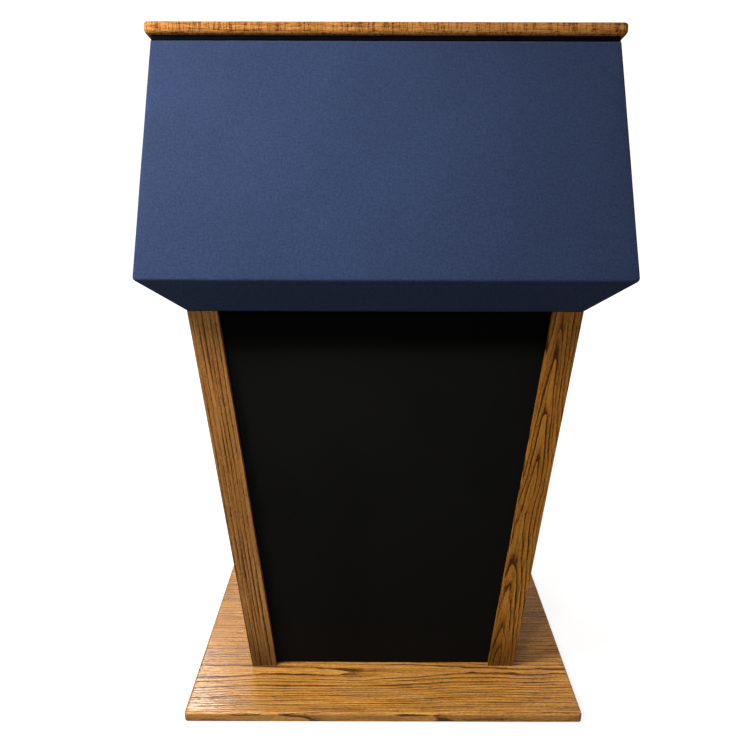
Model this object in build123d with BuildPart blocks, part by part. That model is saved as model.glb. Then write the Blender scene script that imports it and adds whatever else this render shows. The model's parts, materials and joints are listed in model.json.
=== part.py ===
"""Presentation lectern: an oak body that flares upward from a wide base board, a cloth-wrapped
bonnet round its upper half, and a sloping oak reading board on top.

Frame: millimetres, +Z up, origin on the floor under the middle of the lectern. The audience
stands on the -Y side and the speaker on the +Y side; left is -X and right is +X.

The body and the bonnet are bounded by slanted planes whose normals all point out of the
lectern. Each board is sawn from a block of stock by those planes and by parallel planes
further in, so neighbouring boards meet face to face.
"""
import os
from math import atan2, cos, degrees, radians, sin

from build123d import *

os.makedirs("parts", exist_ok=True)

# ---------------------------------------------------------------- driving dimensions
OVERALL_HEIGHT = 1194.0     # floor to the front top edge of the reading board
OVERALL_DEPTH = 660.0       # front edge of the base board to the back of the wheels

GLIDE_HEIGHT = 4.0
BASE_WIDTH = 726.0
BASE_THICKNESS = 19.0
BASE_ROUND = 5.0
BASE_TOP = GLIDE_HEIGHT + BASE_THICKNESS

BODY_HALF_WIDTH = 258.0     # at the base board
BODY_FRONT = -206.0         # at the base board
BODY_REAR = 175.0           # at the base board
SIDE_FLARE = 0.0813         # how far each side leans out for each unit of height
FRONT_FLARE = 0.0660        # the same for the front and the rear

BOARD = 19.0                # side panels, shelves, stiles, rails and cleats
POST_WIDTH = 48.0
POST_THICKNESS = 22.0
PANEL_THICKNESS = 12.0
STILE_WIDTH = 48.0

BONNET_LOW = 753.0          # where the bonnet's bevels meet the body
BEVEL = 62.0                # how far the bevels reach out, and up
BONNET_TOP_FRONT = -108.0   # where the bonnet's sloping front passes BONNET_TOP_LEVEL
BONNET_TOP_LEVEL = 1175.0
BONNET_BOARD = 12.0
WRAP = 1.5                  # cloth glued to the boards
SHADOW_GAP = 10.0           # bare board between the cloth's top hem and the reading board

READING_SLOPE = 12.0        # degrees, falling towards the speaker
READING_FRONT = -112.0      # the front top edge
READING_LENGTH = 394.0      # along the slope
READING_WIDTH = 779.0
READING_THICKNESS = 19.0

TRAY_HALF_WIDTH = 259.3
TRAY_LOW = 880.0
TRAY_THICKNESS = 19.0

WHEEL_RADIUS = 30.0
WHEEL_FLOOR_GAP = 2.0       # the wheels touch the floor only when the lectern is tipped back
WHEEL_X = 250.0

# ---------------------------------------------------------------- derived places
BASE_FRONT = -OVERALL_DEPTH / 2
WHEEL_Y = OVERALL_DEPTH / 2 - WHEEL_RADIUS
WHEEL_Z = WHEEL_RADIUS + WHEEL_FLOOR_GAP
BASE_BACK = WHEEL_Y + 12.0
WRAP_AND_BOARD = WRAP + BONNET_BOARD


def half_width(z):
    """Half the body's outer width at height z."""
    return BODY_HALF_WIDTH + SIDE_FLARE * (z - BASE_TOP)


def front_y(z):
    """The body's front face at height z."""
    return BODY_FRONT - FRONT_FLARE * (z - BASE_TOP)


def rear_y(z):
    """The body's rear face at height z."""
    return BODY_REAR + FRONT_FLARE * (z - BASE_TOP)


BONNET_HALF_WIDTH = half_width(BONNET_LOW) + BEVEL
BONNET_EDGE = BONNET_LOW + BEVEL
BONNET_EDGE_FRONT = front_y(BONNET_LOW) - BEVEL

# ---------------------------------------------------------------- bounding planes
body_left = Plane(origin=(-BODY_HALF_WIDTH, 0, BASE_TOP), z_dir=(-1, 0, -SIDE_FLARE))
body_right = Plane(origin=(BODY_HALF_WIDTH, 0, BASE_TOP), z_dir=(1, 0, -SIDE_FLARE))
body_front = Plane(origin=(0, BODY_FRONT, BASE_TOP), z_dir=(0, -1, -FRONT_FLARE))
body_rear = Plane(origin=(0, BODY_REAR, BASE_TOP), z_dir=(0, 1, -FRONT_FLARE))

BONNET_RISE = BONNET_TOP_LEVEL - BONNET_EDGE
BONNET_RUN = BONNET_TOP_FRONT - BONNET_EDGE_FRONT
bonnet_front = Plane(origin=(0, BONNET_EDGE_FRONT, BONNET_EDGE), z_dir=(0, -BONNET_RISE, BONNET_RUN))
bonnet_bevel = Plane(origin=(0, BONNET_EDGE_FRONT, BONNET_EDGE), z_dir=(0, -1, -1))
bonnet_left = Plane(origin=(-BONNET_HALF_WIDTH, 0, BONNET_EDGE), z_dir=(-1, 0, 0))
bonnet_right = Plane(origin=(BONNET_HALF_WIDTH, 0, BONNET_EDGE), z_dir=(1, 0, 0))
bevel_left = Plane(origin=(-BONNET_HALF_WIDTH, 0, BONNET_EDGE), z_dir=(-1, 0, -1))
bevel_right = Plane(origin=(BONNET_HALF_WIDTH, 0, BONNET_EDGE), z_dir=(1, 0, -1))
bonnet_skin = (bonnet_front, bonnet_bevel, bonnet_left, bonnet_right, bevel_left, bevel_right)

SLOPE = radians(READING_SLOPE)
reading_top = Plane(
    origin=(0, READING_FRONT, OVERALL_HEIGHT), x_dir=(1, 0, 0), z_dir=(0, sin(SLOPE), cos(SLOPE))
)
reading_under = reading_top.offset(-READING_THICKNESS)
floor = Plane.XY


def level(z):
    """A horizontal plane at height z, facing up."""
    return floor.offset(z)


def upright(x):
    """A vertical plane at x, facing +X."""
    return Plane(origin=(x, 0, 0), z_dir=(1, 0, 0))


def across(y):
    """A vertical plane at y, facing +Y."""
    return Plane(origin=(0, y, 0), z_dir=(0, 1, 0))


def saw(below=(), above=()):
    """Fill the current part with stock, then keep what is behind each plane in `below` and in
    front of each plane in `above`, as their normals point."""
    with Locations((0, 0, OVERALL_HEIGHT / 2)):
        Box(1000, 1000, OVERALL_HEIGHT + 100)
    for plane in below:
        split(bisect_by=plane, keep=Keep.BOTTOM)
    for plane in above:
        split(bisect_by=plane, keep=Keep.TOP)


def inset(planes, depth):
    """The same planes, moved into the lectern by depth."""
    return [plane.offset(-depth) for plane in planes]


def save(piece, name):
    """Label a finished piece and write it as its own STEP file."""
    piece.part.label = name
    export_step(piece.part, f"parts/{name}.step")


def save_pair(left, name):
    """Write a left-hand piece and its mirror image as NAME_left and NAME_right."""
    with BuildPart() as right:
        mirror(left.part, about=Plane.YZ)
    save(left, f"{name}_left")
    save(right, f"{name}_right")


def wood_screws(places, plane, head_radius, shank_radius, length):
    """Countersunk wood screws in the current part, driven against the plane's normal, with
    their heads flush with the plane. Places are in the plane's own coordinates."""
    head_depth = head_radius - shank_radius
    with Locations(plane):
        with Locations(*[(x, y, -head_depth / 2) for x, y in places]):
            Cone(bottom_radius=shank_radius, top_radius=head_radius, height=head_depth)
        with Locations(*[(x, y, -length / 2 - head_depth / 2) for x, y in places]):
            Cylinder(radius=shank_radius, height=length - head_depth)


def pan_screws(places, plane, head_radius, shank_radius, length):
    """Pan-head screws in the current part, driven against the plane's normal, with their heads
    standing on the plane."""
    head_height = 0.55 * head_radius
    with Locations(plane):
        with Locations(*[(x, y, head_height / 2) for x, y in places]):
            Cylinder(radius=head_radius, height=head_height)
        with Locations(*[(x, y, -length / 2) for x, y in places]):
            Cylinder(radius=shank_radius, height=length)


# ---------------------------------------------------------------- base board and glides
NOTCH_HALF_WIDTH = 14.0
NOTCH_CLEARANCE = 4.0
notch_front = WHEEL_Y - WHEEL_RADIUS - NOTCH_CLEARANCE

with BuildPart() as base_board:
    with BuildSketch(Plane.XY.offset(GLIDE_HEIGHT)):
        with Locations((0, (BASE_FRONT + BASE_BACK) / 2)):
            RectangleRounded(BASE_WIDTH, BASE_BACK - BASE_FRONT, 6)
    extrude(amount=BASE_THICKNESS)
    fillet(base_board.faces().sort_by(Axis.Z)[-1].edges(), radius=BASE_ROUND)
    fillet(base_board.faces().sort_by(Axis.Z)[0].edges(), radius=1.5)
    with BuildSketch(Plane.XY):
        with Locations(*[(side * WHEEL_X, (notch_front + BASE_BACK) / 2 + 5) for side in (-1, 1)]):
            Rectangle(2 * NOTCH_HALF_WIDTH, BASE_BACK - notch_front + 10)
    extrude(amount=2 * BASE_TOP, mode=Mode.SUBTRACT)
save(base_board, "base_board")

GLIDE_RADIUS = 16.0
GLIDE_SPACING_X = BASE_WIDTH - 90
GLIDE_SPACING_Y = BASE_BACK - BASE_FRONT - 130
GLIDE_CENTRE_Y = (BASE_FRONT + BASE_BACK) / 2 - 20
with BuildPart() as floor_glides:
    with BuildSketch():
        with Locations((0, GLIDE_CENTRE_Y)):
            with GridLocations(GLIDE_SPACING_X, GLIDE_SPACING_Y, 2, 2):
                Circle(GLIDE_RADIUS)
    extrude(amount=GLIDE_HEIGHT)
    chamfer(floor_glides.faces().group_by(Axis.Z)[0].edges(), length=1.2)
save(floor_glides, "floor_glides")

# ---------------------------------------------------------------- transport wheels
AXLE_RADIUS = 3.0
EAR_INSIDE = NOTCH_HALF_WIDTH
EAR_THICKNESS = 2.5
EAR_ROUND = 10.0
PLATE_HALF_WIDTH = 38.0
PLATE_FRONT = notch_front - 22.0
BRACKET_SCREW_RADIUS = 2.0
BRACKET_SCREW_X = PLATE_HALF_WIDTH - 10
BRACKET_SCREW_ROWS = (PLATE_FRONT + 9, BASE_BACK - 12)
TYRE_HALF_WIDTH = 11.0
HUB_RADIUS = 19.0
HUB_HALF_WIDTH = EAR_INSIDE - 0.5
RUNNING_CLEARANCE = 0.06
ear_side = Plane(origin=(-WHEEL_X, 0, 0), x_dir=(0, 1, 0), z_dir=(1, 0, 0))


def bracket_screw_places(side):
    """Where one bracket's screws stand; side is -1 for left and 1 for right."""
    columns = (side * WHEEL_X - BRACKET_SCREW_X, side * WHEEL_X + BRACKET_SCREW_X)
    return [(x, y) for x in columns for y in BRACKET_SCREW_ROWS]


with BuildPart() as wheel_bracket:
    with BuildSketch(Plane.XY.offset(BASE_TOP)):
        with Locations((-WHEEL_X, (PLATE_FRONT + BASE_BACK) / 2)):
            Rectangle(2 * PLATE_HALF_WIDTH, BASE_BACK - PLATE_FRONT)
        with Locations((-WHEEL_X, (notch_front + BASE_BACK) / 2)):
            Rectangle(2 * EAR_INSIDE, BASE_BACK - notch_front, mode=Mode.SUBTRACT)
        with Locations(*bracket_screw_places(-1)):
            Circle(BRACKET_SCREW_RADIUS, mode=Mode.SUBTRACT)
    extrude(amount=EAR_THICKNESS)
    for ear_start in (EAR_INSIDE, -EAR_INSIDE - EAR_THICKNESS):
        with BuildSketch(ear_side.offset(ear_start)):
            with BuildLine():
                Polyline((notch_front, BASE_TOP), (BASE_BACK, BASE_TOP), (BASE_BACK, WHEEL_Z))
                ThreePointArc(
                    (BASE_BACK, WHEEL_Z),
                    (WHEEL_Y, WHEEL_Z + BASE_BACK - WHEEL_Y),
                    (WHEEL_Y - EAR_ROUND, WHEEL_Z + 7),
                )
                Polyline((WHEEL_Y - EAR_ROUND, WHEEL_Z + 7), (notch_front, BASE_TOP))
            make_face()
            with Locations((WHEEL_Y, WHEEL_Z)):
                Circle(AXLE_RADIUS, mode=Mode.SUBTRACT)
        extrude(amount=EAR_THICKNESS)
save_pair(wheel_bracket, "wheel_bracket")

with BuildPart() as wheel_hub:
    with BuildSketch(ear_side):
        with Locations((WHEEL_Y, WHEEL_Z)):
            Circle(HUB_RADIUS)
            Circle(AXLE_RADIUS + RUNNING_CLEARANCE, mode=Mode.SUBTRACT)
    extrude(amount=TYRE_HALF_WIDTH, both=True)
    with BuildSketch(ear_side):
        with Locations((WHEEL_Y, WHEEL_Z)):
            Circle(HUB_RADIUS - 3)
            Circle(9, mode=Mode.SUBTRACT)
    extrude(amount=TYRE_HALF_WIDTH, both=True, mode=Mode.SUBTRACT)
    with BuildSketch(ear_side):
        with Locations((WHEEL_Y, WHEEL_Z)):
            Circle(HUB_RADIUS - 2)
            Circle(8, mode=Mode.SUBTRACT)
    extrude(amount=2, both=True)
    with BuildSketch(ear_side):
        with Locations((WHEEL_Y, WHEEL_Z)):
            Circle(9)
            Circle(AXLE_RADIUS + RUNNING_CLEARANCE, mode=Mode.SUBTRACT)
    extrude(amount=HUB_HALF_WIDTH, both=True)
save_pair(wheel_hub, "wheel_hub")

with BuildPart() as wheel_tyre:
    with BuildSketch(ear_side):
        with Locations((WHEEL_Y, WHEEL_Z)):
            Circle(WHEEL_RADIUS)
            Circle(HUB_RADIUS, mode=Mode.SUBTRACT)
    extrude(amount=TYRE_HALF_WIDTH, both=True)
    rims = wheel_tyre.edges().filter_by(GeomType.CIRCLE).sort_by(SortBy.RADIUS)[-2:]
    fillet(rims, radius=4)
save_pair(wheel_tyre, "wheel_tyre")

BOLT_REACH = EAR_INSIDE + EAR_THICKNESS


def wheel_axis(side):
    """A plane across one wheel's axis, facing outwards; side is -1 for left and 1 for right."""
    return Plane(origin=(side * WHEEL_X, WHEEL_Y, WHEEL_Z), x_dir=(0, 1, 0), z_dir=(side, 0, 0))


with BuildPart() as axle_bolts:
    for side in (-1, 1):
        bolt_plane = wheel_axis(side)
        with BuildSketch(bolt_plane.offset(-BOLT_REACH - 7)):
            Circle(AXLE_RADIUS)
        extrude(amount=2 * BOLT_REACH + 7)
        with BuildSketch(bolt_plane.offset(BOLT_REACH)):
            RegularPolygon(radius=5.0, side_count=6, major_radius=False)
        extrude(amount=4)
save(axle_bolts, "axle_bolts")

with BuildPart() as axle_nuts:
    for side in (-1, 1):
        nut_plane = wheel_axis(side)
        with BuildSketch(nut_plane.offset(-BOLT_REACH - 5)):
            RegularPolygon(radius=5.0, side_count=6, major_radius=False)
            Circle(AXLE_RADIUS, mode=Mode.SUBTRACT)
        extrude(amount=5)
save(axle_nuts, "axle_nuts")

with BuildPart() as bracket_screws:
    pan_screws(
        bracket_screw_places(-1) + bracket_screw_places(1),
        level(BASE_TOP + EAR_THICKNESS),
        head_radius=4.0,
        shank_radius=BRACKET_SCREW_RADIUS,
        length=16,
    )
save(bracket_screws, "bracket_screws")

# ---------------------------------------------------------------- body
BODY_UPPER_END = 870.0      # posts and front panel end inside the bonnet
bonnet_hollow = bonnet_front.offset(-WRAP_AND_BOARD)
behind_posts = body_front.offset(-POST_THICKNESS)
before_stiles = body_rear.offset(-BOARD)
inner_left = body_left.offset(-BOARD)
inner_right = body_right.offset(-BOARD)
post_inner_left = body_left.offset(-POST_WIDTH)
post_inner_right = body_right.offset(-POST_WIDTH)
base_surface = level(BASE_TOP)

with BuildPart() as side_panel:
    saw(
        below=[body_left, behind_posts, bonnet_hollow, before_stiles, reading_under],
        above=[base_surface, inner_left],
    )
save_pair(side_panel, "side_panel")

with BuildPart() as front_post:
    saw(
        below=[body_left, body_front, level(BODY_UPPER_END)],
        above=[base_surface, post_inner_left, behind_posts],
    )
    long_edges = front_post.faces().sort_by(Axis.Y)[0].edges().sort_by(SortBy.LENGTH)[-2:]
    fillet(long_edges, radius=1.5)
save_pair(front_post, "front_post")

with BuildPart() as front_panel:
    saw(
        below=[
            body_front.offset(PANEL_THICKNESS - POST_THICKNESS),
            post_inner_left,
            post_inner_right,
            level(BODY_UPPER_END),
        ],
        above=[base_surface, behind_posts],
    )
save(front_panel, "front_panel")

BATTEN_WIDTH = 30.0
behind_battens = behind_posts.offset(-BOARD)
with BuildPart() as panel_batten:
    saw(
        below=[inner_left, behind_posts, level(BODY_UPPER_END - 140)],
        above=[base_surface, post_inner_left.offset(-BATTEN_WIDTH), behind_battens],
    )
save_pair(panel_batten, "panel_batten")

with BuildPart() as rear_stile:
    outline = [
        (-BODY_HALF_WIDTH, BASE_TOP),
        (-half_width(BONNET_LOW), BONNET_LOW),
        (-BONNET_HALF_WIDTH, BONNET_EDGE),
        (-BONNET_HALF_WIDTH, OVERALL_HEIGHT),
        (STILE_WIDTH - half_width(OVERALL_HEIGHT), OVERALL_HEIGHT),
        (STILE_WIDTH - BODY_HALF_WIDTH, BASE_TOP),
    ]
    with BuildSketch(Plane.XZ):
        with BuildLine():
            Polyline(*outline, close=True)
        make_face()
    extrude(amount=500, both=True)
    for bounding in (body_rear, reading_under):
        split(bisect_by=bounding, keep=Keep.BOTTOM)
    split(bisect_by=before_stiles, keep=Keep.TOP)
save_pair(rear_stile, "rear_stile")

stile_inner_left = Plane(
    origin=(STILE_WIDTH - BODY_HALF_WIDTH, 0, BASE_TOP), z_dir=(-1, 0, -SIDE_FLARE)
)
stile_inner_right = Plane(
    origin=(BODY_HALF_WIDTH - STILE_WIDTH, 0, BASE_TOP), z_dir=(1, 0, -SIDE_FLARE)
)
KICK_RAIL_HEIGHT = 70.0
TOP_RAIL_HEIGHT = 55.0
with BuildPart() as rear_kick_rail:
    saw(
        below=[body_rear, stile_inner_left, stile_inner_right, level(BASE_TOP + KICK_RAIL_HEIGHT)],
        above=[base_surface, before_stiles],
    )
save(rear_kick_rail, "rear_kick_rail")

with BuildPart() as rear_top_rail:
    saw(
        below=[body_rear, stile_inner_left, stile_inner_right, reading_under],
        above=[before_stiles, reading_under.offset(-TOP_RAIL_HEIGHT)],
    )
save(rear_top_rail, "rear_top_rail")

CLEAT_HEIGHT = 30.0
with BuildPart() as base_cleat:
    saw(
        below=[inner_left, behind_battens, before_stiles, level(BASE_TOP + CLEAT_HEIGHT)],
        above=[base_surface, inner_left.offset(-BOARD)],
    )
save_pair(base_cleat, "base_cleat")

with BuildPart() as base_cleat_front:
    saw(
        below=[
            behind_posts,
            post_inner_left.offset(-BATTEN_WIDTH),
            post_inner_right.offset(-BATTEN_WIDTH),
            level(BASE_TOP + CLEAT_HEIGHT),
        ],
        above=[base_surface, behind_battens],
    )
save(base_cleat_front, "base_cleat_front")

# ---------------------------------------------------------------- fixed shelves on cleats
SHELF_SETBACK = 6.0         # behind the rear stiles, so that the edge is out of the way
SHELVES = {"lower_shelf": 400.0, "upper_shelf": 700.0}
for shelf_name, shelf_low in SHELVES.items():
    with BuildPart() as shelf:
        saw(
            below=[
                inner_left,
                inner_right,
                behind_battens,
                before_stiles.offset(-SHELF_SETBACK),
                level(shelf_low + BOARD),
            ],
            above=[level(shelf_low)],
        )
    save(shelf, shelf_name)

    with BuildPart() as shelf_cleat:
        saw(
            below=[
                inner_left,
                behind_battens,
                before_stiles.offset(-3 * SHELF_SETBACK),
                level(shelf_low),
            ],
            above=[level(shelf_low - CLEAT_HEIGHT), inner_left.offset(-BOARD)],
        )
    save_pair(shelf_cleat, f"{shelf_name}_cleat")

# ---------------------------------------------------------------- bonnet
with BuildPart() as bonnet_front_board:
    saw(
        below=[*inset(bonnet_skin, WRAP), reading_under],
        above=[bonnet_hollow],
    )
save(bonnet_front_board, "bonnet_front_board")

bevel_hollow = bonnet_bevel.offset(-WRAP_AND_BOARD)
with BuildPart() as bonnet_bevel_board:
    saw(
        below=[*inset(bonnet_skin, WRAP), bonnet_hollow],
        above=[bevel_hollow, body_front],
    )
save(bonnet_bevel_board, "bonnet_bevel_board")

side_hollow = bonnet_left.offset(-WRAP_AND_BOARD)
with BuildPart() as bonnet_side_board:
    saw(
        below=[
            *inset((bonnet_left, bevel_left), WRAP),
            bonnet_hollow,
            bevel_hollow,
            before_stiles,
            reading_under,
        ],
        above=[side_hollow],
    )
save_pair(bonnet_side_board, "bonnet_side_board")

with BuildPart() as bonnet_side_bevel:
    saw(
        below=[bevel_left.offset(-WRAP), side_hollow, bonnet_hollow, bevel_hollow, before_stiles],
        above=[bevel_left.offset(-WRAP_AND_BOARD), body_left],
    )
save_pair(bonnet_side_bevel, "bonnet_side_bevel")

SPACER_HEIGHT = 40.0
with BuildPart() as bonnet_spacer:
    saw(
        below=[side_hollow, bonnet_hollow, before_stiles, reading_under],
        above=[body_left, reading_under.offset(-SPACER_HEIGHT)],
    )
save_pair(bonnet_spacer, "bonnet_spacer")

LEDGER_HALF_LENGTH = 300.0
with BuildPart() as bonnet_ledger:
    saw(
        below=[
            bonnet_hollow,
            upright(LEDGER_HALF_LENGTH),
            level(BONNET_EDGE + 5 + CLEAT_HEIGHT),
        ],
        above=[body_front, upright(-LEDGER_HALF_LENGTH), level(BONNET_EDGE + 5)],
    )
save(bonnet_ledger, "bonnet_ledger")

# The wrap is one skin over all six faces, open above, behind and where the body passes through.
with BuildPart() as bonnet_core:
    saw(below=[*inset(bonnet_skin, WRAP), reading_under, before_stiles])
with BuildPart() as body_core:
    saw(below=[body_left, body_right, body_front, level(BONNET_EDGE)])
with BuildPart() as bonnet_wrap:
    saw(
        below=[*bonnet_skin, reading_under.offset(-SHADOW_GAP), before_stiles],
        above=[level(BONNET_LOW)],
    )
    add(bonnet_core.part, mode=Mode.SUBTRACT)
    add(body_core.part, mode=Mode.SUBTRACT)
save(bonnet_wrap, "bonnet_wrap")

# ---------------------------------------------------------------- reading board
BUSHING_PLACE = 60.0        # from the front edge, along the slope
BUSHING_RADIUS = 15.0
BUSHING_BORE = 11.0
BUSHING_FLANGE_RADIUS = 21.0
BUSHING_FLANGE = 2.5        # let in flush with the board
BUSHING_TAIL = 4.0
STOP_LENGTH = 600.0
STOP_WIDTH = 16.0
STOP_ROUND = 5.0
STOP_HEIGHT = 18.0          # above the board
STOP_PLACE = READING_LENGTH - 22.0
GROOVE_DEPTH = 4.0          # the stop stands in a stopped groove
HOUSING_CLEARANCE = 0.3
reading_middle = (0, READING_LENGTH / 2)

with BuildPart() as reading_board:
    with BuildSketch(reading_under):
        with Locations(reading_middle):
            RectangleRounded(READING_WIDTH, READING_LENGTH, 10)
    extrude(amount=READING_THICKNESS)
    board_faces = reading_board.faces().sort_by(Axis(reading_top.origin, reading_top.z_dir))
    fillet(board_faces[0].edges(), radius=8.5)
    top_face = reading_board.faces().sort_by(Axis(reading_top.origin, reading_top.z_dir))[-1]
    fillet(top_face.edges(), radius=3)
    with BuildSketch(reading_under):
        with Locations((0, BUSHING_PLACE)):
            Circle(BUSHING_RADIUS)
    extrude(amount=READING_THICKNESS, mode=Mode.SUBTRACT)
    with BuildSketch(reading_top):
        with Locations((0, BUSHING_PLACE)):
            Circle(BUSHING_FLANGE_RADIUS + HOUSING_CLEARANCE)
    extrude(amount=-BUSHING_FLANGE, mode=Mode.SUBTRACT)
    with BuildSketch(reading_top):
        with Locations((0, STOP_PLACE)):
            RectangleRounded(
                STOP_LENGTH + 2 * HOUSING_CLEARANCE,
                STOP_WIDTH + 2 * HOUSING_CLEARANCE,
                STOP_ROUND + HOUSING_CLEARANCE,
            )
    extrude(amount=-GROOVE_DEPTH, mode=Mode.SUBTRACT)
save(reading_board, "reading_board")

with BuildPart() as microphone_bushing:
    with BuildSketch(reading_under.offset(-BUSHING_TAIL)):
        with Locations((0, BUSHING_PLACE)):
            Circle(BUSHING_RADIUS)
            Circle(BUSHING_BORE, mode=Mode.SUBTRACT)
    extrude(amount=READING_THICKNESS + BUSHING_TAIL)
    with BuildSketch(reading_top):
        with Locations((0, BUSHING_PLACE)):
            Circle(BUSHING_FLANGE_RADIUS)
            Circle(BUSHING_BORE, mode=Mode.SUBTRACT)
    extrude(amount=-BUSHING_FLANGE)
    flange_rim = microphone_bushing.edges().filter_by(GeomType.CIRCLE).sort_by(SortBy.RADIUS)[-2:]
    fillet(flange_rim.sort_by(Axis.Z)[-1], radius=0.8)
save(microphone_bushing, "microphone_bushing")

with BuildPart() as book_stop:
    with BuildSketch(reading_top.offset(-GROOVE_DEPTH)):
        with Locations((0, STOP_PLACE)):
            RectangleRounded(STOP_LENGTH, STOP_WIDTH, STOP_ROUND)
    extrude(amount=GROOVE_DEPTH + STOP_HEIGHT)
    stop_top = book_stop.faces().sort_by(Axis(reading_top.origin, reading_top.z_dir))[-1]
    fillet(stop_top.edges(), radius=4)
save(book_stop, "book_stop")

under_side = Plane(origin=reading_under.origin, x_dir=(-1, 0, 0), z_dir=-reading_under.z_dir)
with BuildPart() as book_stop_screws:
    wood_screws(
        [(x, STOP_PLACE) for x in (-240, 0, 240)],
        under_side,
        head_radius=4.0,
        shank_radius=2.0,
        length=32,
    )
save(book_stop_screws, "book_stop_screws")

with BuildPart() as top_cleat:
    saw(
        below=[inner_left, bonnet_hollow, before_stiles, reading_under],
        above=[inner_left.offset(-BOARD), reading_under.offset(-CLEAT_HEIGHT)],
    )
save_pair(top_cleat, "top_cleat")

# They are driven up from the underside of the two top cleats.
TOP_SCREW_PLACES = (110.0, 200.0, 290.0)
with BuildPart() as top_screws:
    cleat_middle = half_width(OVERALL_HEIGHT - 90) - BOARD - BOARD / 2
    wood_screws(
        [(side * cleat_middle, place) for side in (-1, 1) for place in TOP_SCREW_PLACES],
        under_side.offset(CLEAT_HEIGHT),
        head_radius=4.5,
        shank_radius=2.2,
        length=CLEAT_HEIGHT + 12,
    )
save(top_screws, "top_screws")

# ---------------------------------------------------------------- pull-out tray on two slides
SLIDE_THICKNESS = 12.7
SLIDE_HEIGHT = 35.0
SLIDE_WALL = 1.5
SLIDE_DEPTH = 10.0
SLIDE_CLEARANCE = 0.4
SLIDE_SCREW_RADIUS = 1.8
BATTEN_HEIGHT = 50.0
SLIDE_FRONT = -165.0
SLIDE_BACK = 205.0
TRAY_FACE = 230.0
TRAY_FACE_THICKNESS = 19.0
TRAY_FACE_HEIGHT = 48.0
TRAY_FACE_DROP = 16.0       # its lower edge is the finger pull
TRAY_FACE_HALF_WIDTH = 273.0
tray_middle = TRAY_LOW + TRAY_THICKNESS / 2
slide_outer_x = -TRAY_HALF_WIDTH - SLIDE_THICKNESS
slide_section = Plane(origin=(0, SLIDE_FRONT, 0), x_dir=(-1, 0, 0), z_dir=(0, 1, 0))
slide_screw_places = [SLIDE_FRONT + 40, (SLIDE_FRONT + SLIDE_BACK) / 2, SLIDE_BACK - 40]


def slide_web(side, distance):
    """A plane on a slide's web, `distance` from the middle, facing the middle for side 1 and
    for side -1 alike."""
    return Plane(origin=(side * distance, 0, tray_middle), x_dir=(0, 1, 0), z_dir=(-side, 0, 0))


def drill_slide(web):
    """Drill the screw holes through a slide's web in the current part."""
    with Locations(web):
        with Locations(*[(y, 0, SLIDE_WALL / 2) for y in slide_screw_places]):
            Cylinder(radius=SLIDE_SCREW_RADIUS, height=2 * SLIDE_WALL, mode=Mode.SUBTRACT)


with BuildPart() as tray_batten:
    saw(
        below=[
            inner_left,
            upright(slide_outer_x),
            across(SLIDE_BACK),
            level(tray_middle + BATTEN_HEIGHT / 2),
        ],
        above=[across(SLIDE_FRONT), level(tray_middle - BATTEN_HEIGHT / 2)],
    )
save_pair(tray_batten, "tray_batten")

with BuildPart() as slide_channel:
    with BuildSketch(slide_section):
        with Locations((-slide_outer_x - SLIDE_DEPTH / 2, tray_middle)):
            Rectangle(SLIDE_DEPTH, SLIDE_HEIGHT)
        with Locations((-slide_outer_x - SLIDE_DEPTH / 2 - SLIDE_WALL, tray_middle)):
            Rectangle(SLIDE_DEPTH, SLIDE_HEIGHT - 2 * SLIDE_WALL, mode=Mode.SUBTRACT)
    extrude(amount=SLIDE_BACK - SLIDE_FRONT)
    drill_slide(slide_web(-1, -slide_outer_x))
save_pair(slide_channel, "slide_channel")

RUNNER_HEIGHT = SLIDE_HEIGHT - 2 * SLIDE_WALL - 2 * SLIDE_CLEARANCE
RUNNER_DEPTH = SLIDE_THICKNESS - SLIDE_WALL - SLIDE_CLEARANCE
with BuildPart() as slide_runner:
    with BuildSketch(slide_section):
        with Locations((TRAY_HALF_WIDTH + RUNNER_DEPTH / 2, tray_middle)):
            Rectangle(RUNNER_DEPTH, RUNNER_HEIGHT)
        with Locations((TRAY_HALF_WIDTH + RUNNER_DEPTH / 2 + SLIDE_WALL, tray_middle)):
            Rectangle(RUNNER_DEPTH, RUNNER_HEIGHT - 2 * SLIDE_WALL, mode=Mode.SUBTRACT)
    extrude(amount=SLIDE_BACK - SLIDE_FRONT)
    drill_slide(slide_web(-1, TRAY_HALF_WIDTH + SLIDE_WALL))
save_pair(slide_runner, "slide_runner")

with BuildPart() as tray_board:
    with BuildSketch(Plane.XY.offset(TRAY_LOW)):
        with Locations((0, (SLIDE_FRONT + TRAY_FACE - TRAY_FACE_THICKNESS) / 2)):
            Rectangle(2 * TRAY_HALF_WIDTH, TRAY_FACE - TRAY_FACE_THICKNESS - SLIDE_FRONT)
    extrude(amount=TRAY_THICKNESS)
save(tray_board, "tray_board")

with BuildPart() as tray_face:
    with BuildSketch(Plane.XY.offset(TRAY_LOW - TRAY_FACE_DROP)):
        with Locations((0, TRAY_FACE - TRAY_FACE_THICKNESS / 2)):
            Rectangle(2 * TRAY_FACE_HALF_WIDTH, TRAY_FACE_THICKNESS)
    extrude(amount=TRAY_FACE_HEIGHT)
    fillet(tray_face.faces().sort_by(Axis.Y)[-1].edges(), radius=2)
save(tray_face, "tray_face")

with BuildPart() as slide_screws:
    for side in (-1, 1):
        pan_screws(
            [(y, 0) for y in slide_screw_places],
            slide_web(side, -slide_outer_x - SLIDE_WALL),
            head_radius=3.2,
            shank_radius=SLIDE_SCREW_RADIUS,
            length=16,
        )
save(slide_screws, "slide_screws")

with BuildPart() as runner_screws:
    for side in (-1, 1):
        runner_web = slide_web(side, TRAY_HALF_WIDTH + SLIDE_WALL)
        pan_screws(
            [(-y, 0) for y in slide_screw_places],
            Plane(origin=runner_web.origin, x_dir=(0, -1, 0), z_dir=(side, 0, 0)),
            head_radius=3.2,
            shank_radius=SLIDE_SCREW_RADIUS,
            length=16,
        )
save(runner_screws, "runner_screws")

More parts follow.
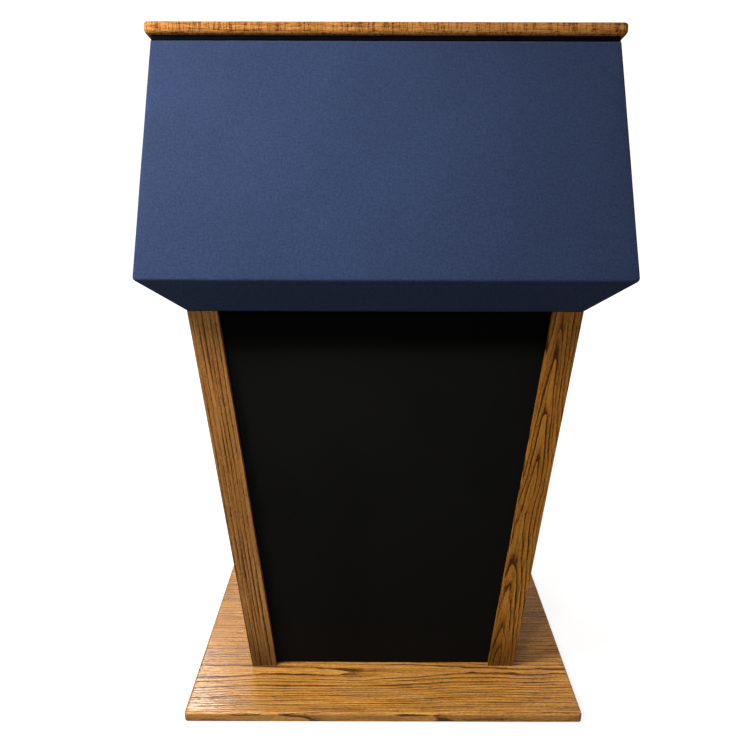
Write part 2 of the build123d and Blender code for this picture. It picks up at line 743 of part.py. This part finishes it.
# ---------------------------------------------------------------- screws up through the base
cleat_line = half_width(BASE_TOP) - BOARD - BOARD / 2
with BuildPart() as base_screws:
    wood_screws(
        [(side * cleat_line, -y) for side in (-1, 1) for y in (-130, 0, 120)]
        + [(x, -(BODY_FRONT + POST_THICKNESS + BOARD / 2)) for x in (-120, 0, 120)],
        Plane(origin=(0, 0, GLIDE_HEIGHT), x_dir=(1, 0, 0), z_dir=(0, 0, -1)),
        head_radius=4.5,
        shank_radius=2.2,
        length=42,
    )
save(base_screws, "base_screws")

print("body top half width", round(half_width(BONNET_LOW), 1))
print("bonnet lean from upright", round(degrees(atan2(BONNET_RUN, BONNET_RISE)), 1))
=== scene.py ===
"""The presentation lectern's looks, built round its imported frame.

Metres, +Z up, the audience on the -Y side. Boards keep their CAD meshes and get procedural
materials; the cloth over the bonnet is a piece of its own, stretched over the CAD skin.
"""
import json
import math

import bmesh
import bpy
from mathutils import Matrix, Vector, noise


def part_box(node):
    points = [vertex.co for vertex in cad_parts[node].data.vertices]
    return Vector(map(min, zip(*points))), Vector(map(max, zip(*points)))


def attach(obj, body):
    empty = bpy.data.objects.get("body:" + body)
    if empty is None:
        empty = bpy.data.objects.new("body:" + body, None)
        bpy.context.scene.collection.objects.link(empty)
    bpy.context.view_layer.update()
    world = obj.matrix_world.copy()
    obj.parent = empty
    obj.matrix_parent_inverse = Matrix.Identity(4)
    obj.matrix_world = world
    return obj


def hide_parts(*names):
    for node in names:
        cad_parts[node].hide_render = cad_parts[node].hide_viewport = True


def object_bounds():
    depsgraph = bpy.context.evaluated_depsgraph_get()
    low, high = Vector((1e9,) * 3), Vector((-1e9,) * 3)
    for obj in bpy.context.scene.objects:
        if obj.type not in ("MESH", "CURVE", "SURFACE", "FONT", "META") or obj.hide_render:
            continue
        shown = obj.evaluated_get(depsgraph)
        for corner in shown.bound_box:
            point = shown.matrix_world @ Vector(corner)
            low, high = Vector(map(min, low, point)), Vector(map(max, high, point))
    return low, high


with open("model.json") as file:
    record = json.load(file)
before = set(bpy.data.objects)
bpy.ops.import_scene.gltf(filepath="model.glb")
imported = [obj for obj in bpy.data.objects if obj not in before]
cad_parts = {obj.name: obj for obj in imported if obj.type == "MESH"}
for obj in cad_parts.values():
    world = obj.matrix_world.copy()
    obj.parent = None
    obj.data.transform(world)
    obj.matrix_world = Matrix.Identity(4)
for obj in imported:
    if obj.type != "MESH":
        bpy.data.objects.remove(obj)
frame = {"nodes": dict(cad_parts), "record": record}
cad_low, cad_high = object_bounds()
nodes = frame["nodes"]
slots = {part["node"]: part["material_slot"] for part in frame["record"]["subparts"]}

X, Y, Z = Vector((1, 0, 0)), Vector((0, 1, 0)), Vector((0, 0, 1))


def rgb(red, green, blue):
    return (red, green, blue, 1.0)


# ------------------------------------------------------------------ node graphs
class Graph:
    """A material's node tree. Most methods add a node and return its output socket."""

    def __init__(self, name):
        self.material = bpy.data.materials.new(name)
        self.material.use_nodes = True
        self.tree = self.material.node_tree
        self.shader = self.tree.nodes["Principled BSDF"]
        self.point = self.node("ShaderNodeTexCoord").outputs["Object"]

    def put(self, socket, value):
        """Link a socket to another, or set its value."""
        if isinstance(value, bpy.types.NodeSocket):
            self.tree.links.new(value, socket)
        elif value is not None:
            socket.default_value = value

    def node(self, kind, *inputs, **settings):
        made = self.tree.nodes.new(kind)
        for key, value in settings.items():
            setattr(made, key, value)
        for socket, value in zip(made.inputs, inputs):
            self.put(socket, value)
        return made

    def set(self, **values):
        """Set or link the shader's own sockets; an underscore stands for a space."""
        for key, value in values.items():
            self.put(self.shader.inputs[key.replace("_", " ")], value)

    def math(self, operation, a, b=None):
        return self.node("ShaderNodeMath", a, b, operation=operation).outputs[0]

    def add(self, *terms):
        total = terms[0]
        for term in terms[1:]:
            total = self.math("ADD", total, term)
        return total

    def times(self, *factors):
        product = factors[0]
        for factor in factors[1:]:
            product = self.math("MULTIPLY", product, factor)
        return product

    def less(self, a, b):
        return self.math("SUBTRACT", a, b)

    def length(self, a, b):
        """The hypotenuse of a and b."""
        return self.math("SQRT", self.add(self.times(a, a), self.times(b, b)))

    def vector(self, operation, a, b):
        return self.node("ShaderNodeVectorMath", a, b, operation=operation)

    def dot(self, a, b):
        return self.vector("DOT_PRODUCT", a, b).outputs["Value"]

    def scaled(self, a, factors):
        return self.vector("MULTIPLY", a, factors).outputs["Vector"]

    def joined(self, x, y, z):
        return self.node("ShaderNodeCombineXYZ", x, y, z).outputs[0]

    def parts(self, vector):
        return self.node("ShaderNodeSeparateXYZ", vector).outputs

    def noise(self, vector, detail=2.0, roughness=0.5):
        made = self.node("ShaderNodeTexNoise")
        self.put(made.inputs["Vector"], vector)
        self.put(made.inputs["Scale"], 1.0)
        self.put(made.inputs["Detail"], detail)
        self.put(made.inputs["Roughness"], roughness)
        return made.outputs["Fac"]

    def sway(self, vector, size, detail=1.5):
        """Noise either side of zero, out to about size."""
        return self.times(self.less(self.noise(vector, detail), 0.5), 2.6 * size)

    def random(self, value):
        """A steady random number, and a random vector, for each value."""
        made = self.node("ShaderNodeTexWhiteNoise", noise_dimensions="1D")
        self.put(made.inputs["W"], value)
        return made.outputs["Value"], made.outputs["Color"]

    def step(self, value, low, high, to_low=0.0, to_high=1.0):
        """A smooth step from to_low, below low, to to_high, above high."""
        made = self.node("ShaderNodeMapRange", value, low, high, to_low, to_high)
        made.interpolation_type = "SMOOTHSTEP"
        return made.outputs[0]

    def ramp(self, value, *stops):
        """Levels or colours at the given places, with straight lines between them."""
        made = self.node("ShaderNodeValToRGB", value)
        points = made.color_ramp.elements
        while len(points) < len(stops):
            points.new(0.5)
        for point, (place, level) in zip(points, stops):
            point.position = place
            point.color = level if isinstance(level, tuple) else (level, level, level, 1)
        return made.outputs[0]

    def mix(self, factor, a, b, blend="MIX"):
        made = self.node("ShaderNodeMix", data_type="RGBA", blend_type=blend)
        for key, value in (("Factor_Float", factor), ("A_Color", a), ("B_Color", b)):
            self.put(next(s for s in made.inputs if s.identifier == key), value)
        return next(s for s in made.outputs if s.identifier == "Result_Color")

    def lit(self, colour, level):
        """A colour made lighter or darker by a number."""
        grey = self.node("ShaderNodeCombineColor", level, level, level).outputs[0]
        return self.mix(1.0, colour, grey, blend="MULTIPLY")

    def bump(self, height, distance, strength=1.0):
        made = self.node("ShaderNodeBump")
        self.put(made.inputs["Height"], height)
        self.put(made.inputs["Distance"], distance)
        self.put(made.inputs["Strength"], strength)
        for coat in ("Normal", "Coat Normal"):
            self.put(self.shader.inputs[coat], made.outputs[0])


# ------------------------------------------------------------------ wood
OAK = dict(
    light=rgb(0.600, 0.315, 0.090),
    middle=rgb(0.360, 0.158, 0.036),
    dark=rgb(0.070, 0.026, 0.006),
)
PINE = dict(
    light=rgb(0.560, 0.370, 0.170),
    middle=rgb(0.440, 0.260, 0.100),
    dark=rgb(0.280, 0.140, 0.050),
)
# Where the trunk's heart lies from the board's middle: across the broad face, and behind it.
QUARTER_SAWN = (0.260, 0.030)
RIFT_SAWN = (0.130, 0.080)
FLAT_SAWN = (0.010, 0.035)
FRONT_EDGE = (0.172, 0.192)     # across the reading board, where its front edge begins
PORE_DEPTH = 0.00022
VARNISH_ROUGHNESS = 0.13


def wood(name, look, middle, along, face, heart=RIFT_SAWN, ring=0.0068, taper=0.012, turn=0.0,
         wander=1.0, tint=(1.0, 1.0, 1.0), bold=1.0, brief=1.0, shine=0.18, coat=0.0, relief=1.0,
         stave=None, fleck=0.0, post=False, seed=0.0):
    """Sawn wood, cut from a trunk of growth rings.

    `along` is the grain and `face` the board's broad face. `ring` is the rings' spacing, `taper`
    how fast they widen along the grain, `turn` the part of a ring to shift them by, and `wander`
    how far they stray. `bold` strengthens their lines, and `brief` shortens the pores' streaks.
    `shine` is the wood's own gloss, `coat` the varnish over it, and `relief` how deep its pores
    are. `stave` is the width of the strips that the board is glued up from, and `fleck` shows
    the rays. A `post` gets painted shade under the bonnet, is darker at its foot, and gets
    painted light, paler and bluer, a little above that.
    """
    along = along.normalized()
    side = along.cross(face).normalized()
    face = side.cross(along)
    g = Graph(name)
    place = g.vector("SUBTRACT", g.point, middle).outputs["Vector"]
    u, v, w = (g.dot(place, axis) for axis in (side, face, along))
    front, rise = u, w
    if stave:
        strip = g.math("FLOOR", g.math("DIVIDE", u, stave))
        strip_light, strip_shift = g.random(g.add(strip, seed + 0.37))
        strip_light = g.step(strip_light, 0.0, 1.0, 0.90, 1.10)
        shift = g.parts(strip_shift)
        u = g.add(g.less(u, g.times(strip, stave)), g.times(shift[0], 0.06))
        w = g.add(w, g.times(shift[2], 2.0))
    grain = g.joined(u, v, g.add(w, 3.0 * seed))

    drift = g.sway(g.scaled(grain, (9, 9, 3.2)), 0.0050 * wander)
    waver = g.sway(g.scaled(grain, (38, 38, 12)), 0.0012 * wander, detail=2.5)
    across = g.add(g.less(u, heart[0]), drift)
    deep = g.add(g.add(v, heart[1]), g.times(drift, 0.5))
    radius = g.add(g.length(across, deep), g.times(w, taper), waver)
    count = g.add(g.math("DIVIDE", radius, ring), turn)
    count = g.add(count, g.sway(g.joined(g.times(count, 0.4), seed, 0.5), 0.5, detail=1.0))
    phase = g.math("FRACT", count)
    this_ring, _ = g.random(g.math("FLOOR", count))

    # A ring starts with a dark band of open pores, and thins out to clear late wood.
    grain = g.scaled(grain, (1.0, 1.0, brief))
    streak = g.noise(g.scaled(grain, (420, 420, 16)), detail=3.0, roughness=0.6)
    line = g.ramp(
        phase, (0.0, 0.0), (0.03, 1.0), (0.12, 0.92), (0.24, 0.40), (0.50, 0.12), (1.0, 0.0)
    )
    line = g.times(line, g.step(this_ring, 0.0, 1.0, 0.50, 1.0), g.step(streak, 0.30, 0.60, 0.60, 1.0))
    fade = g.noise(g.scaled(grain, (90, 90, 9)), detail=2.0)
    line = g.times(line, g.step(fade, 0.36, 0.62, 0.45, 1.30))
    pore = g.noise(g.scaled(grain, (780, 780, 95)), detail=1.0, roughness=0.4)
    pore = g.times(g.step(pore, 0.53, 0.66), g.add(g.times(line, 0.6), 0.40), min(bold, 1.0))
    fibre = g.noise(g.scaled(grain, (300, 300, 9)), detail=4.0, roughness=0.65)
    grit = g.noise(g.scaled(grain, (640, 640, 170)), detail=1.5)
    cloud = g.noise(g.scaled(grain, (11, 11, 2.5)), detail=2.0)

    depth = g.add(
        g.times(line, 0.90 * bold),
        g.times(pore, 0.40),
        g.step(fibre, 0.28, 0.72, 0.0, 0.40),
        g.step(grit, 0.30, 0.70, -0.08, 0.16),
        g.step(cloud, 0.30, 0.70, 0.0, 0.14),
    )
    if fleck:
        # The rays cross the grain, and show best along the front edge, sawn on the quarter.
        rung = g.noise(g.scaled(g.joined(u, v, w), (60, 9, 135)), detail=2.0)
        vein = g.noise(g.scaled(g.joined(u, v, w), (330, 330, 30)), detail=2.0)
        quartered = g.step(front, *FRONT_EDGE, 0.22, 1.0)
        for crossing, weight in ((rung, fleck), (vein, 0.9 * fleck)):
            away = g.math("ABSOLUTE", g.less(crossing, 0.5))
            mark = g.step(away, 0.0, 0.055, weight, -0.3 * weight)
            depth = g.add(depth, g.times(mark, quartered))
    colour = g.ramp(depth, (0.0, look["light"]), (0.48, look["middle"]), (1.0, look["dark"]))
    colour = g.mix(1.0, colour, rgb(*tint), blend="MULTIPLY")
    if stave:
        colour = g.lit(colour, strip_light)
    if post:
        # `rise` runs up the post in metres, from its middle.
        # painted light: paler and bluer over the lower half, as if lit from the base board
        pale = g.mix(g.step(rise, -0.25, 0.0, 1.0, 0.0), rgb(1.0, 1.0, 1.0), rgb(1.3, 1.4, 1.7))
        colour = g.mix(1.0, colour, pale, blend="MULTIPLY")
        # painted shade: darker towards the top, where the bonnet shades the post
        painted_bonnet_shade = g.step(rise, 0.15, 0.36, 1.0, 0.6)
        foot = g.step(rise, -0.42, -0.28, 0.4, 1.0)
        colour = g.lit(colour, g.times(painted_bonnet_shade, foot))

    rough = g.add(g.times(pore, 0.20), g.times(fibre, 0.12), 0.62 - shine)
    g.set(Base_Color=colour, Roughness=rough, Specular_IOR_Level=shine,
          Coat_Weight=coat, Coat_Roughness=VARNISH_ROUGHNESS)
    g.bump(g.less(g.times(fibre, 0.3), g.add(pore, g.times(line, 0.4))), PORE_DEPTH * relief, 0.8)
    return g.material


# ------------------------------------------------------------------ other materials
def cloth_material():
    """Plain-woven panel cloth: two sets of threads, slubs, and a faint mottle."""
    g = Graph("navy_panel_cloth")
    normal = g.node("ShaderNodeNewGeometry").outputs["Normal"]
    on_side = g.step(g.math("ABSOLUTE", g.dot(normal, X)), 0.55, 0.75)
    on_front = g.less(1.0, on_side)
    x, y, z = g.parts(g.point)
    across = g.add(g.times(x, on_front), g.times(y, on_side))
    slope_length = 1.16         # of the bonnet's front, for each unit of height
    up = g.times(z, g.add(on_side, g.times(on_front, slope_length)))
    thread_pitch = 0.0011
    warp = g.math("SINE", g.times(across, math.pi / thread_pitch))
    weft = g.math("SINE", g.times(up, math.pi / thread_pitch))
    warp_over = g.math("GREATER_THAN", g.times(warp, weft), 0.0)
    weft_over = g.less(1.0, warp_over)
    thread = g.add(
        g.times(g.math("ABSOLUTE", warp), warp_over),
        g.times(g.math("ABSOLUTE", weft), weft_over),
    )

    flat = g.joined(across, up, 0.0)
    slubs = g.add(
        g.noise(g.scaled(flat, (700, 45, 1))),
        g.noise(g.scaled(flat, (45, 700, 1))),
    )
    mottle = g.noise(g.scaled(flat, (300, 300, 1)), detail=3.0, roughness=0.7)
    cloud = g.noise(g.scaled(flat, (7, 7, 1)))
    dark_thread, light_thread = rgb(0.0140, 0.0258, 0.0675), rgb(0.0177, 0.0328, 0.084)
    colour = g.mix(g.step(slubs, 0.70, 1.30), dark_thread, light_thread)
    light = g.times(
        g.step(mottle, 0.3, 0.7, 0.72, 1.28),
        g.step(cloud, 0.3, 0.7, 0.96, 1.04),
        g.step(thread, 0.0, 1.0, 0.78, 1.12),
    )
    g.set(Base_Color=g.lit(colour, light), Roughness=0.88, Specular_IOR_Level=0.20,
          Sheen_Weight=0.06, Sheen_Roughness=0.5, Sheen_Tint=rgb(0.60, 0.70, 1.0))
    g.bump(g.add(thread, g.times(slubs, 0.4)), 0.00030, 0.8)
    return g.material


def laminate_material():
    """Matt black laminate: a very fine pebble, and a thin coat of dust with a few specks in it.
    The top of the panel, under the bonnet, is kept near black as painted shade."""
    g = Graph("matt_black_laminate")
    pebble = g.noise(g.scaled(g.point, (1500, 1500, 1500)), detail=1.0)
    smear = g.noise(g.scaled(g.point, (5, 5, 3)), detail=3.0)
    dust = g.node("ShaderNodeTexVoronoi", feature="F1")
    g.put(dust.inputs["Vector"], g.point)
    g.put(dust.inputs["Scale"], 13.0)
    chosen, _ = g.random(g.dot(dust.outputs["Color"], (3.1, 7.7, 5.3)))
    speck = g.times(
        g.math("LESS_THAN", dust.outputs["Distance"], 0.018),
        g.math("GREATER_THAN", chosen, 0.86),
    )
    painted_shade_from, painted_shade_above = 0.662, 0.714      # heights of the painted shade, a little below the bonnet
    # painted shade: the top of the panel, under the bonnet, is kept near black, the rest has the dust's
    # grey
    painted_panel_shade = g.step(g.parts(g.point)[2], painted_shade_from, painted_shade_above)
    dust_film_and_painted_shade = g.times(g.less(1.0, painted_panel_shade), g.step(smear, 0.3, 0.7, 0.85, 1.10))
    black = g.mix(dust_film_and_painted_shade, rgb(0.0004, 0.0004, 0.0005), rgb(0.0064, 0.0064, 0.0055))
    g.set(Base_Color=g.mix(g.times(speck, 0.35), black, rgb(0.10, 0.10, 0.09)),
          Roughness=g.step(smear, 0.2, 0.8, 0.62, 0.70), Specular_IOR_Level=0.03)
    g.bump(pebble, 0.00006, 0.6)
    return g.material


def paint_material():
    """Flat black paint, brushed over plywood so that its grain still shows; in the gap under the
    reading board its black is partly painted shade.
    """
    g = Graph("black_paint_and_painted_shade")
    grain = g.noise(g.scaled(g.point, (12, 260, 260)), detail=3.0, roughness=0.6)
    patch = g.noise(g.scaled(g.point, (25, 25, 25)), detail=3.0)
    black = g.mix(g.step(patch, 0.3, 0.7), rgb(0.0008, 0.0008, 0.0014), rgb(0.0016, 0.0016, 0.0024))
    g.set(Base_Color=black, Roughness=g.step(grain, 0.3, 0.7, 0.80, 0.95), Specular_IOR_Level=0.02)
    g.bump(grain, 0.00020, 0.7)
    return g.material


def metal_material(name, colour, roughness, metallic=1.0, depth=0.00002):
    """Plated or coated metal with a slightly uneven finish."""
    g = Graph(name)
    fine = g.noise(g.scaled(g.point, (900, 900, 900)))
    broad = g.noise(g.scaled(g.point, (60, 60, 60)), detail=3.0)
    g.set(Base_Color=g.lit(colour, g.step(broad, 0.35, 0.70, 0.84, 1.06)), Metallic=metallic,
          Roughness=g.step(broad, 0.3, 0.7, roughness - 0.06, roughness + 0.10))
    g.bump(fine, depth, 0.6)
    return g.material


def moulded_material(name, colour, roughness, pebble=1200, depth=0.00005):
    """Moulded plastic or rubber with a fine texture and a little scuffing."""
    g = Graph(name)
    texture = g.noise(g.scaled(g.point, (pebble, pebble, pebble)), detail=1.5)
    scuff = g.noise(g.scaled(g.point, (40, 150, 150)), detail=4.0, roughness=0.7)
    g.set(Base_Color=g.lit(colour, g.step(scuff, 0.55, 0.75, 0.95, 1.7)), Specular_IOR_Level=0.4,
          Roughness=g.step(scuff, 0.4, 0.7, roughness, roughness + 0.12))
    g.bump(texture, depth, 0.7)
    return g.material


# ------------------------------------------------------------------ boards
LEFT_LEAN = Vector((-0.0813, -0.066, 1.0))      # the way the body's left front corner runs
RIGHT_LEAN = Vector((0.0813, -0.066, 1.0))
READING_SLOPE = math.radians(12.0)
READING_FACE = Vector((0, math.sin(READING_SLOPE), math.cos(READING_SLOPE)))

# Panels and shelves are faced with flat-sawn veneer in wide leaves.
PANEL_VENEER = dict(heart=FLAT_SAWN, stave=0.19, ring=0.009)
SHELF_VENEER = dict(heart=FLAT_SAWN, stave=0.17, ring=0.009)

# grain direction, broad face, and what sets the board apart
OAK_BOARDS = {
    "base_board": (X, Z, dict(
        heart=(0.213, 0.020), ring=0.0052, taper=0.014, turn=0.35, bold=1.30, wander=1.4,
        relief=1.7, coat=1.0, tint=(1.41, 1.36, 1.08),
    )),
    "front_post_left": (LEFT_LEAN, -Y, dict(
        heart=QUARTER_SAWN, ring=0.0072, taper=0.006, wander=0.5, bold=1.30, post=True,
        tint=(0.78, 0.72, 0.66),
    )),
    "front_post_right": (RIGHT_LEAN, -Y, dict(
        heart=(-0.0075, -0.005), ring=0.0062, taper=0.060, wander=2.9, bold=1.8, post=True,
        tint=(0.88, 0.74, 0.34),
    )),
    "rear_stile_left": (LEFT_LEAN, Y, dict(seed=1.0)),
    "rear_stile_right": (RIGHT_LEAN, Y, dict(seed=2.0)),
    "rear_kick_rail": (X, Y, dict(seed=3.0)),
    "rear_top_rail": (X, Y, dict(seed=4.0)),
    "reading_board": (X, READING_FACE, dict(
        heart=(0.06, 0.05), ring=0.0065, stave=0.098, fleck=0.36, brief=4.0, bold=0.4,
        shine=0.03, seed=5.0, tint=(0.70, 0.60, 0.55),
    )),
    "book_stop": (X, READING_FACE, dict(seed=6.0)),
    "tray_face": (X, Y, dict(heart=FLAT_SAWN, seed=7.0)),
    "side_panel_left": (LEFT_LEAN, -X, dict(PANEL_VENEER, seed=8.0)),
    "side_panel_right": (RIGHT_LEAN, X, dict(PANEL_VENEER, seed=9.0)),
    "lower_shelf": (X, Z, dict(SHELF_VENEER, seed=10.0)),
    "upper_shelf": (X, Z, dict(SHELF_VENEER, seed=11.0)),
    "tray_board": (X, Z, dict(SHELF_VENEER, seed=12.0)),
}


def paint(node, material):
    mesh = nodes[node].data
    mesh.materials.clear()
    mesh.materials.append(material)


def middle_of(node):
    low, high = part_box(node)
    return (low + high) / 2


def longest_axis(node):
    low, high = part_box(node)
    size = high - low
    return max(range(3), key=lambda axis: size[axis])


def dress_boards():
    for node, (along, face, figure) in OAK_BOARDS.items():
        paint(node, wood(f"oak_{node}", OAK, middle_of(node), along, face, **figure))
    pine = dict(heart=(0.3, 0.2), ring=0.0045, bold=0.4, shine=0.05)
    softwood = [
        wood(f"pine_{letter}", PINE, Vector(), along, face, seed=seed, **pine)
        for letter, along, face, seed in (("x", X, Z, 20.0), ("y", Y, Z, 21.0), ("z", Z, X, 22.0))
    ]
    for node, slot in slots.items():
        if slot == "hidden_softwood":
            paint(node, softwood[longest_axis(node)])


def dress_the_rest():
    finishes = {
        "bonnet_plywood": paint_material(),
        "black_laminate": laminate_material(),
        "zinc_steel": metal_material("zinc_plate", rgb(0.58, 0.58, 0.56), 0.30),
        "black_steel": metal_material(
            "black_powder_coat", rgb(0.018, 0.018, 0.019), 0.45, metallic=0.0, depth=0.00008
        ),
        "black_plastic": moulded_material("moulded_black", rgb(0.014, 0.014, 0.015), 0.42),
        "grey_rubber": moulded_material(
            "tyre_rubber", rgb(0.055, 0.055, 0.057), 0.62, pebble=700, depth=0.00012
        ),
    }
    for node, slot in slots.items():
        if slot in finishes:
            paint(node, finishes[slot])


# ------------------------------------------------------------------ the cloth over the bonnet
CLOTH_THICKNESS = 0.0013
CLOTH_EDGE = 0.0032         # how far back from a sharp edge it starts to turn
CLOTH_SLICE = 0.014         # spacing of the mesh lines that its slack is carried by


def outer_faces(shape):
    """The faces of the CAD skin that the cloth shows: all that nothing lies outside of, but not
    its cut edges, which face up, down or back."""
    points = [vert.co for vert in shape.verts]
    chosen = []
    for face in shape.faces:
        normal, centre = face.normal, face.calc_center_median()
        outermost = all(normal.dot(point - centre) < 0.0002 for point in points)
        if outermost and normal.y < 0.5 and -0.9 < normal.z < 0.7:
            chosen.append(face)
    return chosen


def slice_every(shape, axis, spacing):
    """Cut the whole mesh by evenly spaced planes."""
    places = [vert.co.dot(axis) for vert in shape.verts]
    first = math.ceil(min(places) / spacing)
    for step in range(first, int(max(places) / spacing) + 1):
        geometry = shape.verts[:] + shape.edges[:] + shape.faces[:]
        plane_at = axis * (step * spacing)
        bmesh.ops.bisect_plane(shape, geom=geometry, plane_co=plane_at, plane_no=axis, dist=1e-5)


def build_cloth():
    """Cloth pulled tight over the bonnet: rounded at its edges, and a hair slack between."""
    shape = bmesh.new()
    shape.from_mesh(nodes["bonnet_wrap"].data)
    bmesh.ops.remove_doubles(shape, verts=shape.verts, dist=1e-5)
    kept = set(outer_faces(shape))
    bmesh.ops.delete(shape, geom=[face for face in shape.faces if face not in kept], context="FACES")
    bmesh.ops.dissolve_limit(shape, angle_limit=math.radians(1), verts=shape.verts, edges=shape.edges)
    corners = [edge for edge in shape.edges if len(edge.link_faces) == 2]
    bmesh.ops.bevel(shape, geom=corners, offset=CLOTH_EDGE, segments=4, profile=0.5, affect="EDGES")
    for axis in (X, Y, Z):
        slice_every(shape, axis, CLOTH_SLICE)
    bmesh.ops.recalc_face_normals(shape, faces=shape.faces)
    shape.normal_update()
    moves = []
    for vert in shape.verts:
        slack = noise.noise(vert.co * 9.0) * 0.00030 + noise.noise(vert.co * 31.0 + Z) * 0.00010
        moves.append((vert, vert.normal * min(slack - 0.00015, 0.0)))
    for vert, move in moves:
        vert.co += move
    for face in shape.faces:
        face.smooth = True
    mesh = bpy.data.meshes.new("bonnet_cloth")
    shape.to_mesh(mesh)
    shape.free()
    cloth = bpy.data.objects.new("bonnet_cloth", mesh)
    bpy.context.scene.collection.objects.link(cloth)
    mesh.materials.append(cloth_material())
    solid = cloth.modifiers.new("thickness", "SOLIDIFY")
    solid.thickness = CLOTH_THICKNESS
    solid.offset = -1.0
    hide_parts("bonnet_wrap")
    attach(cloth, "lectern")


# ------------------------------------------------------------------ stage, light and camera
def stage_material():
    """Matt pale paint that glows a little, and more further out, so that it is evenly white."""
    g = Graph("pale_floor")
    x, y, z = g.parts(g.point)
    distance = g.length(g.length(x, y), z)
    speckle = g.noise(g.scaled(g.point, (90, 90, 90)), detail=3.0)
    g.set(Base_Color=g.lit(rgb(0.45, 0.45, 0.45), g.step(speckle, 0.3, 0.7, 0.98, 1.02)),
          Roughness=1.0, Specular_IOR_Level=0.0, Emission_Color=rgb(1, 1, 1),
          Emission_Strength=g.step(distance, 0.4, 1.5, 0.80, 1.0))
    return g.material


def build_stage(radius=7.0, curve=2.5, height=7.0):
    """A round pale floor that curves up into a wall, seen from any side. The object is lit by
    the lamps alone, so the stage is kept out of its light and reflections."""
    profile = [(0.0, 0.0), (radius - curve, 0.0)]
    for part in range(1, 11):
        angle = math.radians(9 * part)
        profile.append((radius - curve + curve * math.sin(angle), curve - curve * math.cos(angle)))
    profile += [(radius, height), (0.0, height + 1.5)]
    shape = bmesh.new()
    points = [shape.verts.new((r, 0, z)) for r, z in profile]
    edges = [shape.edges.new(pair) for pair in zip(points, points[1:])]
    bmesh.ops.spin(shape, geom=points + edges, cent=(0, 0, 0), axis=(0, 0, 1), angle=math.tau, steps=96)
    bmesh.ops.remove_doubles(shape, verts=shape.verts, dist=1e-5)
    bmesh.ops.recalc_face_normals(shape, faces=shape.faces)
    for face in shape.faces:
        face.smooth = True
    mesh = bpy.data.meshes.new("studio_sweep")
    shape.to_mesh(mesh)
    shape.free()
    mesh.materials.append(stage_material())
    stage = bpy.data.objects.new("studio_sweep", mesh)
    bpy.context.scene.collection.objects.link(stage)
    for rays in ("visible_diffuse", "visible_glossy", "visible_transmission", "visible_shadow"):
        setattr(stage, rays, False)


# name, place, what it points at, diameter, watts, colour, and a spot's angle in degrees
LAMPS = (
    ("key_lamp", (-1.00, -0.70, 1.70), (0.0, -0.2, 0.7), 0.40, 33.5, (1.0, 0.985, 0.96), None),
    ("front_lamp", (-0.80, -1.90, 1.40), (0.0, -0.2, 0.7), 0.60, 14.5, (1.0, 0.98, 0.95), None),
    ("right_lamp", (2.20, -2.20, 1.50), (0.0, -0.2, 0.6), 0.60, 5, (1.0, 0.98, 0.96), None),
    ("glare_lamp", (-1.17, 1.83, 2.00), (-0.3, -0.1, 0.0), 1.00, 1, (1.0, 0.98, 0.96), None),
    ("corner_glare", (-1.12, 1.66, 2.00), (-0.35, -0.3, 0.0), 0.60, 13, (0.84, 0.95, 1.0), None),
    ("back_lamp", (-0.20, 2.70, 1.70), (0.0, 0.1, 0.6), 1.20, 24, (1.0, 0.99, 0.98), None),
    ("side_lamp", (2.30, 1.10, 1.40), (0.3, 0.0, 0.6), 0.90, 7, (1.0, 0.99, 0.98), None),
    ("bonnet_spot", (-0.10, -1.50, 1.95), (-0.04, -0.25, 0.98), 0.30, 33, (1, 1, 1), 27),
)


def add_lamp(name, place, target, size, power, colour, spot):
    """A round soft lamp, or a soft-edged spot of the given angle."""
    data = bpy.data.lights.new(name, "SPOT" if spot else "AREA")
    if spot:
        data.spot_size = math.radians(spot)
        data.spot_blend = 1.0
        data.shadow_soft_size = size / 2
    else:
        data.shape = "DISK"
        data.size = size
    data.energy = power
    data.color = colour
    lamp = bpy.data.objects.new(name, data)
    lamp.location = place
    lamp.rotation_mode = "QUATERNION"
    lamp.rotation_quaternion = (Vector(target) - Vector(place)).to_track_quat("-Z", "Y")
    bpy.context.scene.collection.objects.link(lamp)


def light_the_scene():
    for lamp in LAMPS:
        add_lamp(*lamp)
    world = bpy.context.scene.world or bpy.data.worlds.new("surroundings")
    bpy.context.scene.world = world
    world.use_nodes = True
    background = world.node_tree.nodes["Background"]
    background.inputs["Color"].default_value = (1.0, 0.99, 0.97, 1.0)
    background.inputs["Strength"].default_value = 0.16


def place_camera():
    """At the photograph's height and angle, a little left of the middle."""
    data = bpy.data.cameras.new("camera")
    data.sensor_width = 36.0
    data.lens = 34.07
    data.clip_start = 0.05
    camera = bpy.data.objects.new("camera", data)
    camera.location = (-0.0163, cad_low.y - 1.0341, 1.0120)
    tilt_down, roll = math.radians(18.23), math.radians(0.15)
    aim = Matrix.Rotation(math.pi / 2 - tilt_down, 3, "X") @ Matrix.Rotation(roll, 3, "Z")
    camera.rotation_mode = "QUATERNION"
    camera.rotation_quaternion = aim.to_quaternion()
    bpy.context.scene.collection.objects.link(camera)
    bpy.context.scene.camera = camera


dress_boards()
dress_the_rest()
build_cloth()
build_stage()
light_the_scene()
place_camera()
bpy.context.scene.view_settings.view_transform = "Standard"
